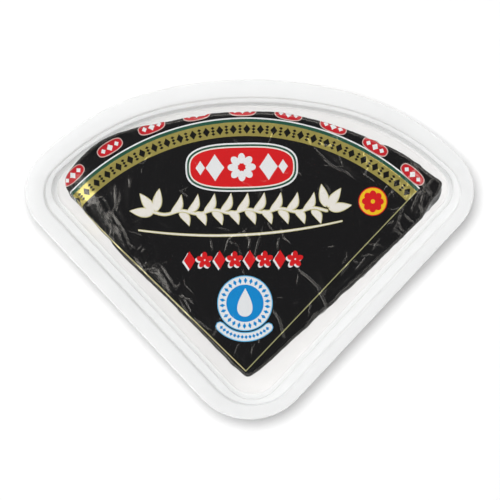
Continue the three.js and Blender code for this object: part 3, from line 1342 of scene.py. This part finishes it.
@dataclass(frozen=True)
class Facets:
    """A crumpled sheet's flat facets, which meet in creases."""

    amount: float
    cell: float
    seed: int
    stretch: float  # length of the facets as a share of their width
    turn: float  # direction of their length, in degrees from +X
    more_left: float = 0.0  # what the amount gains on the portion's left
    tile: int = 256

    def height(self, plan: np.ndarray) -> np.ndarray:
        """Heights of the facets.

        Args:
            plan: Plan points.

        Returns:
            Heights from -1 to 1.
        """
        rng = np.random.default_rng(self.seed)
        heights = rng.uniform(-1, 1, (self.tile, self.tile))
        waves = rng.uniform(0, 2 * math.pi, 4)
        local = turned(plan, -self.turn) / self.cell / np.array([self.stretch, 1.0])
        bent = local + 0.45 * np.stack([
            np.sin(local[:, 1] * 1.7 + waves[0]) + np.sin(local[:, 0] * 0.9 + waves[1]),
            np.sin(local[:, 0] * 1.5 + waves[2]) + np.sin(local[:, 1] * 0.8 + waves[3]),
        ], axis=-1)
        column, row = np.floor(bent).astype(int).T
        u, v = (bent - np.floor(bent)).T
        near, right, above, far = (
            heights[(column + i) % self.tile, (row + j) % self.tile]
            for i, j in ((0, 0), (1, 0), (0, 1), (1, 1))
        )
        lower = near + (right - near) * u + (far - right) * v
        upper = near + (far - above) * u + (above - near) * v
        return np.where(u > v, lower, upper)


# Facets where the foil is crumpled, those of its walls, and those all over its top.
CRUMPLES = (
    Facets(0.24, 6.0, 3, 2.2, -60, 0.26),
    Facets(0.2, 2.9, 8, 1.9, -65, 0.02),
    Facets(0.13, 1.5, 5, 1.2, 20, -0.04),
)
WALL_CRUMPLES = (Facets(0.28, 5.0, 17, 1.3, 75), Facets(0.2, 2.1, 19, 1.5, 10))
BUCKLES = Facets(0.09, 9.0, 11, 1.4, 30)

# Folds that stand out, each by its line, width, rise and the steepness of its far flank.
FOLDS = (
    Ridge(((-76, 84), (-74.5, 76), (-71, 69)), 5.4, -1.95),
    Ridge(((-66, 78), (-55, 60)), 2.8, 0.6, 0.6),
    Ridge(((-58, 80), (-53, 66)), 2.2, 0.35, 0.5),
    Ridge(((-50, 84), (-52, 62)), 2.4, 0.3, 0.6),
    Ridge(((-44, 74), (-47, 52)), 2.6, 0.25, 0.7),
    Ridge(((-5, 68), (-9, 46)), 2.4, 0.2, 0.6),
    Ridge(((7, 72), (-3, 48)), 2.2, 0.2, 0.6),
    Ridge(((27, 47), (32, 30)), 2.4, 0.3, 0.5),
    Ridge(((28, 96), (44, 84)), 2.4, 0.25, 0.6),
    Ridge(((66, 88), (74, 78)), 2.6, 0.7, 0.5),
    Ridge(((69, 75), (72, 68)), 2.0, 0.6, 0.5),
    Ridge(((62, 74), (58, 62)), 2.4, 0.5, 0.6),
    Ridge(((22, 20), (55, 56)), 2.6, 0.5, 0.7),
    Ridge(((-58.5, 66.5), (-54, 60), (-50, 51)), 2.0, 0.75, 0.6),
    Ridge(((-48.5, 52.5), (-42, 40)), 1.7, 0.6, 0.6),
    Ridge(((-39.5, 48), (-31, 36)), 1.9, 0.7, 0.6),
    Ridge(((-29.5, 35.5), (-24, 25.5)), 1.4, 0.45, 0.6),
)

# Lines of the creases that show, with the rise of each.
CREASE_LINES = (
    (0.2, ((24.5, 98), (31.5, 91.5), (36.5, 88))),
    (0.24, ((28.5, 93.5), (34, 89.5), (39, 87.5), (42.5, 84.5))),
    (0.18, ((35.5, 94.5), (37, 90.5))),
    (0.18, ((45.5, 87.5), (51, 83.5))),
    (0.18, ((58, 81.5), (59, 77.5))),
    (0.18, ((4, 79), (2.5, 75.5))),
    (0.24, ((-4, 63), (-0.5, 58), (-1, 54))),
    (0.24, ((4.5, 64), (2, 53.5), (1, 49))),
    (0.22, ((12, 64.5), (13.5, 59.5), (16.5, 57))),
    (0.2, ((11.5, 60), (11, 54))),
    (0.45, ((19, 47), (25, 42.5), (28.5, 39.5), (29.5, 37), (32, 31.5), (31, 29))),
    (0.45, ((9.5, 29.5), (12.5, 25.5), (14, 20.5), (15, 17))),
    (0.21, ((39, 54.5), (40.5, 52.5), (38, 49))),
    (0.22, ((-6.5, 60.5), (-9.5, 58), (-11, 52.5))),
    (0.18, ((-17, 58.5), (-16, 53))),
    (0.18, ((-5.5, 55.5), (-4, 51.5))),
    (0.18, ((-3.5, 46.5), (-2.5, 43))),
    (0.18, ((-30, 78), (-26.5, 75.5))),
    (0.33, ((-57.5, 80), (-56.5, 71.5), (-59.5, 65.5))),
    (0.24, ((-51.5, 83), (-51, 79))),
    (0.3, ((-55.5, 63), (-54.5, 59.5))),
    (0.3, ((-60, 68.5), (-57.5, 62.5), (-59, 58.5))),
    (0.22, ((-24, 25.5), (-15, 19.5))),
    (0.45, ((72, 81.5), (70.5, 74.5))),
    (0.45, ((74, 83.5), (69, 78), (66.5, 71.5))),
    (0.33, ((63.5, 74), (61, 69.5))),
    (0.33, ((63.5, 70.5), (67.5, 67))),
    (0.33, ((59, 64.5), (64.5, 60.5))),
    (0.38, ((68.5, 90), (65, 84.5))),
    (0.38, ((65.5, 93), (69.5, 88))),
    (0.38, ((75.5, 86), (71.5, 80))),
    (0.3, ((61, 67), (63.5, 63))),
    (0.27, ((53.5, 60), (50.5, 54.5))),
    (0.27, ((48, 52), (44, 46.5))),
    (0.27, ((41.5, 50), (37.5, 44))),
    (0.22, ((47.5, 92.5), (49, 91), (50, 89))),
    (0.22, ((52, 89.5), (53.5, 87.5), (54, 85.5))),
    (0.22, ((58, 86), (59.5, 84), (60, 82))),
    (0.22, ((61, 84), (62, 82), (64, 80))),
    (0.22, ((64.5, 80), (66, 78.5), (66.5, 76))),
    (0.2, ((22, 101.5), (23.5, 100), (24, 98))),
)


@dataclass
class WrappedPortion:
    """The cheese in its foil: one closed skin, whose faces carry the inks of the print."""

    layout: FoilPrint
    floor: float = 0.5
    radius: float = 112.1
    side_angle: float = 45.6
    side_bow: float = 1.4
    tip_setback: float = 0.8
    corner_radius: float = 7.0
    thickness: float = 21.0
    edge_round: float = 1.6
    crown: float = 0.9
    crown_half_angle: float = 18.0
    turn: float = -1.35
    apex: Place = (-0.7, -54.2)
    # where the bowed edge stands out: direction from +Y, half width and amount
    shoulders: tuple[tuple[float, float, float], ...] = (
        (33.5, 11, 5), (-37, 11, 2.6), (-44, 3, 1.8),
    )
    shoulder_foot: float = 0.35
    shoulder_level: float = 0.7
    # waves of the walls: rise, length and phase
    waves: tuple[tuple[float, float, float], ...] = ((0.24, 23, 0.6), (0.14, 11.5, 2.1))
    # where the brim stands in or out: direction from the middle, half width and depth
    nicks: tuple[tuple[float, float, float], ...] = (
        (4.8, 5.2, -2.9), (10.5, 2.0, 0.4), (17.5, 1.5, 0.4), (29.5, 1.8, -0.9),
        (34.0, 1.5, -0.4), (75.0, 14.0, 0.4), (100.0, 12.0, -0.2), (119.0, 5.0, -0.4),
        (136.0, 2.0, 0.5), (143.0, 4.0, 0.3), (171.0, 2.0, 0.2), (177.5, 4.0, -2.6),
        (191.5, 2.5, -0.9), (198.0, 8.0, 0.4), (238.0, 24.0, -0.7), (264.0, 2.5, 0.5),
        (271.0, 3.0, -0.5), (276.0, 12.0, 0.6), (305.0, 7.0, -0.5), (319.0, 4.0, -0.3),
    )
    middle_share: float = 0.62
    foot_round: float = 1.2
    # rings of the underside: how far in from the foil's edge, and how high
    underside: tuple[tuple[float, float], ...] = (
        (0.35, 0.55), (1.0, 0.15), (2.0, 0.03), (12.0, 0.03), (30.0, 0.03),
    )
    spacing: float = 0.47
    rim_spacing: float = 0.6
    crease_spacing: float = 0.4
    bend_steps: int = 6
    wall_steps: int = 15
    # fine creases strewn at random: how many are tried, and within which limits
    scattered: int = 1000
    scatter_seed: int = 41
    scatter_box: tuple[Place, Place] = ((-85, -72), (85, 48))
    scatter_lengths: tuple[float, float] = (2.0, 9.0)
    scatter_rises: tuple[float, float] = (0.07, 0.22)
    scatter_bend: float = 0.35
    steps: Steps = Steps(tip=6, side=80, corner=12, shoulder=60, crown=40)
    # where the foil is crumpled: place, spread and amount
    gathers: tuple[tuple[float, float, float, float], ...] = (
        (70.0, 80.0, 7.0, 0.5), (62.0, 66.0, 8.0, 0.28), (-68.0, 70.0, 9.0, 0.3),
        (-57.0, 66.0, 9.0, 0.36), (48.0, 50.0, 7.0, 0.4), (34.0, 36.0, 7.0, 0.3),
        (-46.0, 48.0, 8.0, 0.45), (-30.0, 30.0, 8.0, 0.35), (61.0, 86.0, 6.0, 0.6),
        (50.0, 92.0, 6.0, 0.6), (38.0, 96.0, 5.0, 0.5),
        (5.0, 56.0, 9.0, 0.12), (-16.0, 18.0, 6.0, 0.3),
    )
    # how crumpled it is everywhere, and by how much more in some parts
    least_crumple: float = 0.03
    brim_crumple: float = 0.12
    cut_crumple: float = 0.4
    left_crumple: float = 0.35
    wall_crumple: float = 0.45
    wall_sink: float = 0.35  # how far the crumpled walls are drawn in
    wall_limit: float = 0.15  # how far folds may stand off the walls
    top_limit: float = 3.0  # how much further they may stand off the top face

    def __post_init__(self) -> None:
        """Measure the outlines that everything is placed by, and crease the foil."""
        self.middle = np.array([0.0, self.middle_share * self.radius])
        self.foot = PolarOutline(self.outline(self.shoulder_foot), self.middle)
        self.brim = PolarOutline(self.outline(1.0), self.middle)
        self.creases = [Ridge.crease(line, rise, 0.36) for rise, line in CREASE_LINES]
        self.creases += self.scattered_creases()

    def outline(self, fullness: float) -> np.ndarray:
        """Outline of the portion about the point where its cut faces would meet.

        Args:
            fullness: Share by which the shoulders stand out.

        Returns:
            Plan points, anticlockwise from the tip.
        """
        plain = QuarterRound(
            side_angle=self.side_angle, apex_y=0.0, tip_y=self.tip_setback,
            crown_y=self.radius, crown_radius=self.radius, shoulder_radius=self.radius,
            corner_radius=self.corner_radius, crown_half_angle=self.crown_half_angle,
        ).outline(self.steps)
        length = np.hypot(*plain.T)
        angle = np.degrees(np.arctan2(-plain[:, 0], plain[:, 1]))
        out = sum(rise * bell(angle - at, spread) for at, spread, rise in self.shoulders)
        reach = length / self.radius
        out = out * fullness * smoothstep(reach, 0.85, 1.0)
        side = math.radians(self.side_angle)
        bow = self.side_bow * np.maximum(0, np.sin(math.pi * reach))
        push = np.stack([
            np.sign(plain[:, 0]) * math.cos(side), np.full(len(plain), -math.sin(side)),
        ], axis=-1)
        return plain * ((length + out) / length)[:, None] + push * bow[:, None]

    def polar(self, plan: np.ndarray) -> tuple[np.ndarray, np.ndarray, np.ndarray]:
        """Plan points as they lie from the middle.

        Args:
            plan: Plan points.

        Returns:
            Distances, directions in radians from +X, and headings as plan vectors.
        """
        offset = plan - self.middle
        angle = np.arctan2(offset[:, 1], offset[:, 0])
        return np.hypot(*offset.T), angle, np.stack([np.cos(angle), np.sin(angle)], axis=-1)

    def flat_radius(self, angle: np.ndarray) -> np.ndarray:
        """Distance from the middle to where the top face starts to round over."""
        return self.brim.radius(angle) + self.nicked(angle) - self.edge_round

    def level(self, share: np.ndarray) -> np.ndarray:
        """Height of the bulging top face, at a share of the way from the middle to the brim."""
        return self.thickness + self.crown * (1 - share**2)

    def nicked(self, angle: np.ndarray) -> np.ndarray:
        """How far the nicks move the brim out.

        Args:
            angle: Directions from the middle, in radians from +X.

        Returns:
            Distances in millimetres, less than 0 where the brim stands in.
        """
        degrees = np.degrees(angle) % 360
        return sum(
            depth * np.maximum(0, 1 - np.abs(degrees - at) / half)
            for at, half, depth in self.nicks
        )

    def scattered_creases(self) -> list[Ridge]:
        """Strew fine creases over the foil, most of them where it is crumpled.

        Returns:
            The creases that are kept.
        """
        rng = np.random.default_rng(self.scatter_seed)
        made = []
        for _ in range(self.scattered):
            start = self.middle + rng.uniform(*self.scatter_box)
            heading, length = rng.uniform(0, math.pi), rng.uniform(*self.scatter_lengths)
            bends = heading + rng.normal(0, self.scatter_bend, 3)
            stops = np.cumsum(np.stack([np.cos(bends), np.sin(bends)], axis=-1), axis=0)
            line = np.vstack([[0, 0], stops]) * length / 3 + start
            rise, keep = rng.uniform(*self.scatter_rises), rng.uniform(0, 1)
            edge, crumple = self.crumple(line)
            if edge.min() > 0.8 and keep < 0.09 + 1.1 * crumple.max():
                rise *= 0.7 + 0.8 * crumple.max()
                made.append(Ridge.crease(line, rise, 0.33))
        return made

    def crumple(self, plan: np.ndarray) -> tuple[np.ndarray, np.ndarray]:
        """Distance in from the brim, and how crumpled the foil is there.

        Args:
            plan: Points of the flat sheet.

        Returns:
            Distances in millimetres, and amounts from 0 to 1.
        """
        away, angle, _ = self.polar(plan)
        edge = self.flat_radius(angle) + self.edge_round - away
        amount = self.least_crumple + sum(
            most * bell(np.hypot(plan[:, 0] - x, plan[:, 1] - y), spread)
            for x, y, spread, most in self.gathers
        )
        lower = smoothstep(self.middle[1] - plan[:, 1], -5.0, 15.0)
        left = smoothstep(-plan[:, 0], 5.0, 20.0)
        amount += self.cut_crumple * bell(edge - 1.0, 2.5) * lower
        amount += self.brim_crumple * bell(edge, 1.5)
        amount += self.left_crumple * bell(edge - 4.5, 3.5) * lower * left
        amount += self.wall_crumple * smoothstep(-edge, 0.0, 2.0)
        return edge, np.minimum(amount, 1.0)

    def skin(self, plan: np.ndarray) -> np.ndarray:
        """Where the smooth foil lies.

        The foil is a flat sheet laid on the top face. What reaches past the brim goes round
        the edge and down the wall.

        Args:
            plan: Points of the flat sheet.

        Returns:
            Points in space, in the portion's own frame.
        """
        away, angle, heading = self.polar(plan)
        nick = self.nicked(angle)
        brim = self.brim.radius(angle) + nick
        flat = brim - self.edge_round
        excess = np.maximum(0, away - flat)
        bend = np.minimum(excess / self.edge_round, math.pi / 2)
        down = np.maximum(0, excess - self.edge_round * math.pi / 2)
        height = self.level(np.minimum(away, flat) / brim)
        height = height - self.edge_round * (1 - np.cos(bend)) - down
        height = np.maximum(height, self.foot_round)
        low = smoothstep(height / self.thickness, 0.0, self.shoulder_level)
        wall = self.foot.radius(angle) * (1 - low) + (brim - nick) * low
        wall = wall + nick * smoothstep(height / self.thickness, 0.55, 0.95)
        walked = self.brim.travel(angle)
        wave = sum(
            rise * np.sin(2 * math.pi * walked / length + phase + 2.5 * height / self.thickness)
            for rise, length, phase in self.waves
        )
        over = wall - brim + wave * smoothstep(down, 0.0, 4.0)
        radial = np.minimum(away, flat) + self.edge_round * np.sin(bend)
        radial = radial + np.where(down > 0, over, 0.0)
        return np.column_stack([self.middle + heading * radial[:, None], height])

    def relief(self, plan: np.ndarray) -> np.ndarray:
        """How far the folds, creases and crumples stand off the smooth foil.

        Args:
            plan: Points of the flat sheet.

        Returns:
            Distances in millimetres.
        """
        edge, crumple = self.crumple(plan)
        left = smoothstep(-plan[:, 0], 12.0, 35.0)
        wall = smoothstep(-edge, 1.0, 4.0)
        raised = sum(fold.height(plan) for fold in FOLDS) * smoothstep(edge, -0.5, 3.5)
        raised += sum(crease.height(plan) for crease in self.creases)
        for facets in CRUMPLES:
            raised += crumple * (facets.amount + facets.more_left * left) * facets.height(plan)
        for facets in WALL_CRUMPLES:
            raised += wall * facets.amount * facets.height(plan)
        raised += BUCKLES.amount * BUCKLES.height(plan) * smoothstep(edge, -1.0, 4.0)
        raised -= self.wall_sink * smoothstep(-edge, 0.5, 3.0)
        limit = self.wall_limit + self.top_limit * smoothstep(edge, -1.0, 2.0)
        return np.minimum(raised, limit)

    def dressed(self, plan: np.ndarray) -> np.ndarray:
        """Where the real, folded foil lies.

        Args:
            plan: Points of the flat sheet.

        Returns:
            Points in space, in the portion's own frame.
        """
        step = 0.02
        here = self.skin(plan)
        along = self.skin(plan + (step, 0.0)) - here
        across = self.skin(plan + (0.0, step)) - here
        normal = np.cross(along, across)
        normal /= np.linalg.norm(normal, axis=1)[:, None]
        return here + normal * self.relief(plan)[:, None]

    def sheet_points(self) -> tuple[np.ndarray, np.ndarray]:
        """Points of the flat sheet, close together on the top face and in rings past its edge.

        Returns:
            The points inside, and the outline of the sheet.
        """
        loop = evenly(self.outline(1.0), self.rim_spacing, closed=True)
        _, angle, heading = self.polar(loop)
        flat = self.flat_radius(angle)
        bent = self.edge_round * math.pi / 2
        level = self.level(flat / (flat + self.edge_round))
        drop = level - self.edge_round - self.foot_round
        extents = [bent * k / self.bend_steps for k in range(self.bend_steps + 1)]
        extents += [bent + drop * k / self.wall_steps for k in range(1, self.wall_steps + 1)]
        rings = [self.middle + heading * (flat + extent)[:, None] for extent in extents]
        inside = lattice(loop.min(0), loop.max(0), self.spacing)
        away, angle, _ = self.polar(inside)
        inside = inside[away < self.flat_radius(angle) - 0.3]
        return np.vstack([inside, *rings[:-1]]), rings[-1]

    def in_tray(self, points: np.ndarray) -> np.ndarray:
        """The portion's own points, as it lies in the tray."""
        plan = turned(points[:, :2], self.turn) + np.array(self.apex)
        return np.column_stack([plan, points[:, 2] + self.floor])

    def closed(
        self, top: np.ndarray, loop: np.ndarray
    ) -> tuple[np.ndarray, list[tuple[int, ...]]]:
        """The underside that closes the foil.

        Args:
            top: Points of the foil.
            loop: Numbers of those along its edge, in order.

        Returns:
            The points with those of the underside after them, and the underside's faces.
        """
        rings = []
        away, _, heading = self.polar(top[loop, :2])
        for inset, z in self.underside:
            plan = self.middle + heading * (away - inset)[:, None]
            rings.append(np.column_stack([plan, np.full(len(loop), z)]))
        points = np.vstack([top, *rings, [[*self.middle, self.underside[-1][1]]]])
        count, first = len(loop), len(top)
        last, centre = len(points) - 1 - count, len(points) - 1
        faces = []
        for i in range(count):
            j = (i + 1) % count
            faces.append((loop[i], first + i, first + j, loop[j]))
            for a in range(first, last, count):
                faces.append((a + i, a + count + i, a + count + j, a + j))
            faces.append((last + i, centre, last + j))
        return points, faces

    def build(self) -> bpy.types.Object:
        """Make the foil as one closed mesh.

        Returns:
            The object.
        """
        fields = self.layout.lay()
        inner, border = self.sheet_points()
        rows = [crease.rows(self.crease_spacing) for crease in self.creases]
        plan, faces, owners, loop = triangulated(
            border, [shape for shape, _ in fields], inner,
            crests=[crest for crest, _ in rows], flanks=np.vstack([flank for _, flank in rows]),
        )
        points, underside = self.closed(self.dressed(plan), loop)
        inks = list(Ink)
        of_field = np.array([inks.index(Ink.BLACK)] + [inks.index(ink) for _, ink in fields])
        black = np.full(len(underside), inks.index(Ink.BLACK))
        made = make_object(
            "wrapped_cheese", self.in_tray(points), faces + underside,
            [ink.value.material() for ink in inks], np.concatenate([of_field[owners], black]),
        )
        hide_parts("wrapped_wedge")
        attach(made, "root")
        return made


# ---------------------------------------------------------------- studio


@dataclass(frozen=True)
class Softbox:
    """A round lamp: where it hangs and its diameter in metres, and its power in watts."""

    name: str
    place: tuple[float, float, float]
    size: float
    power: float


@dataclass(frozen=True)
class LampRing:
    """Softboxes in a ring round the pack, with the power of each anticlockwise from +Y."""

    name: str
    powers: tuple[float, ...]
    radius: float
    height: float
    size: float

    def softboxes(self) -> list[Softbox]:
        """Place the softboxes.

        Returns:
            The softboxes, in the order of their powers.
        """
        made = []
        for number, power in enumerate(self.powers):
            x, y = compass(360 * number / len(self.powers), self.radius)
            made.append(Softbox(f"{self.name}_{number}", (x, y, self.height), self.size, power))
        return made


@dataclass
class Studio:
    """Plain pale floor, soft light and a camera straight above."""

    camera_height: float = 1.5
    view_width: float = 0.2083
    view_centre: Place = (0.00015, -0.0002)
    subject_height: float = 0.026
    sensor: float = 36.0
    floor_half: float = 3000.0
    floor_level: float = -0.2
    floor_tones: tuple[float, float] = (0.86, 0.88)
    overhead: Softbox = Softbox("overhead", (-0.09, 0.142, 1.8), 0.6, 35.0)
    canopy: Softbox = Softbox("canopy", (-0.5, 0.0, 1.9), 2.6, 44.0)
    low_ring: LampRing = LampRing("sidelight", (2.2,) * 8, radius=1.5, height=0.2, size=0.5)
    high_ring: LampRing = LampRing(
        "softbox", (5.5, 6.5, 7.5, 5.0, 3.0, 2.0, 3.2, 5.0), radius=1.12, height=1.22, size=0.72
    )
    # the glow of the surroundings, and the heights between which it fades, 1 straight up
    horizon_glow: float = 0.4
    overhead_glow: float = 0.04
    glow_fade: tuple[float, float] = (0.9, 0.3)

    def group(self, name: str, *members: bpy.types.Object) -> bpy.types.Collection:
        """Collect what a lamp lights or what shades its light.

        Args:
            name: Name of the collection.
            members: The objects.

        Returns:
            The collection.
        """
        made = bpy.data.collections.new(name)
        for member in members:
            made.objects.link(member)
        return made

    def build(self, portion: bpy.types.Object, tray: bpy.types.Object) -> None:
        """Set up everything around the pack.

        The overhead lamp lights the floor and gives the tray its shadow. The canopy and the
        low ring light the tray, and the foil takes nothing from their light. The high ring
        lights the foil.

        Args:
            portion: The wrapped portion.
            tray: The tray.
        """
        scene = bpy.context.scene
        scene.view_settings.view_transform = "Standard"
        scene.cycles.transparent_max_bounces = 32
        scene.cycles.max_bounces = 12
        floor = self.floor()
        self.world()
        self.camera()
        floor_alone = self.group("floor_alone", floor)
        tray_alone = self.group("tray_alone", tray)
        portion_alone = self.group("portion_alone", portion)
        self.lamp(self.overhead, floor_alone, self.group("floor_and_tray", floor, tray))
        for box in (self.canopy, *self.low_ring.softboxes()):
            self.lamp(box, tray_alone, floor_alone)
        for box in self.high_ring.softboxes():
            self.lamp(box, portion_alone)

    def floor(self) -> bpy.types.Object:
        """Make the pale floor, a hair below the tray.

        Returns:
            The object.
        """
        material, sheet, output = new_material("pale_floor")
        cloud = sheet.noise(sheet.place(), 6.0, 2.0).outputs["Fac"]
        tone = sheet.ramp(cloud, 0.0, 1.0, *self.floor_tones)
        paint = sheet.add("ShaderNodeBsdfDiffuse", {"Color": tone})
        sheet.tree.links.new(paint.outputs[0], output.inputs["Surface"])
        half, z = self.floor_half, self.floor_level
        corners = np.array([[-half, -half, z], [half, -half, z], [half, half, z], [-half, half, z]])
        made = make_object("floor", corners, [(0, 1, 2, 3)], [material])
        return made

    def world(self) -> None:
        """Surroundings that are dark overhead and light towards the horizon."""
        world = bpy.data.worlds.new("studio")
        bpy.context.scene.world = world
        world.use_nodes = True
        world.node_tree.nodes.clear()
        sheet = NodeSheet(world.node_tree)
        up = sheet.add("ShaderNodeTexCoord").outputs["Generated"]
        height = sheet.add("ShaderNodeSeparateXYZ", {0: up}).outputs["Z"]
        glow = sheet.ramp(
            height, *self.glow_fade, self.overhead_glow, self.horizon_glow,
            interpolation_type="SMOOTHSTEP",
        )
        back = sheet.add("ShaderNodeBackground", {"Strength": glow})
        output = sheet.add("ShaderNodeOutputWorld")
        sheet.tree.links.new(back.outputs[0], output.inputs["Surface"])

    def lamp(
        self,
        box: Softbox,
        lights: bpy.types.Collection,
        shaded_by: bpy.types.Collection | None = None,
    ) -> None:
        """Hang a softbox that looks at the middle of the pack.

        Args:
            box: The softbox.
            lights: What it lights.
            shaded_by: What casts shadows in its light, if not everything.
        """
        data = bpy.data.lights.new(box.name, "AREA")
        data.shape = "DISK"
        data.size = box.size
        data.energy = box.power
        made = bpy.data.objects.new(box.name, data)
        made.location = box.place
        made.rotation_euler = (-Vector(box.place)).to_track_quat("-Z", "Y").to_euler()
        made.light_linking.receiver_collection = lights
        made.light_linking.blocker_collection = shaded_by
        bpy.context.scene.collection.objects.link(made)

    def camera(self) -> None:
        """A long lens that looks straight down."""
        data = bpy.data.cameras.new("camera")
        data.sensor_width = self.sensor
        data.lens = self.sensor * (self.camera_height - self.subject_height) / self.view_width
        data.clip_start, data.clip_end = 0.1, 20.0
        made = bpy.data.objects.new("camera", data)
        made.location = (*self.view_centre, self.camera_height)
        bpy.context.scene.collection.objects.link(made)
        bpy.context.scene.camera = made


def main() -> None:
    """Build the pack piece by piece."""
    logging.basicConfig(level=logging.INFO, format="%(message)s")
    tray = Tray()
    pieces = []
    for maker in (WrappedPortion(FoilPrint()), tray, SealingFilm(tray)):
        piece = maker.build()
        log.info("%s: %d faces", piece.name, len(piece.data.polygons))
        pieces.append(piece)
    Studio().build(*pieces[:2])


if __name__ == "__main__":
    main()
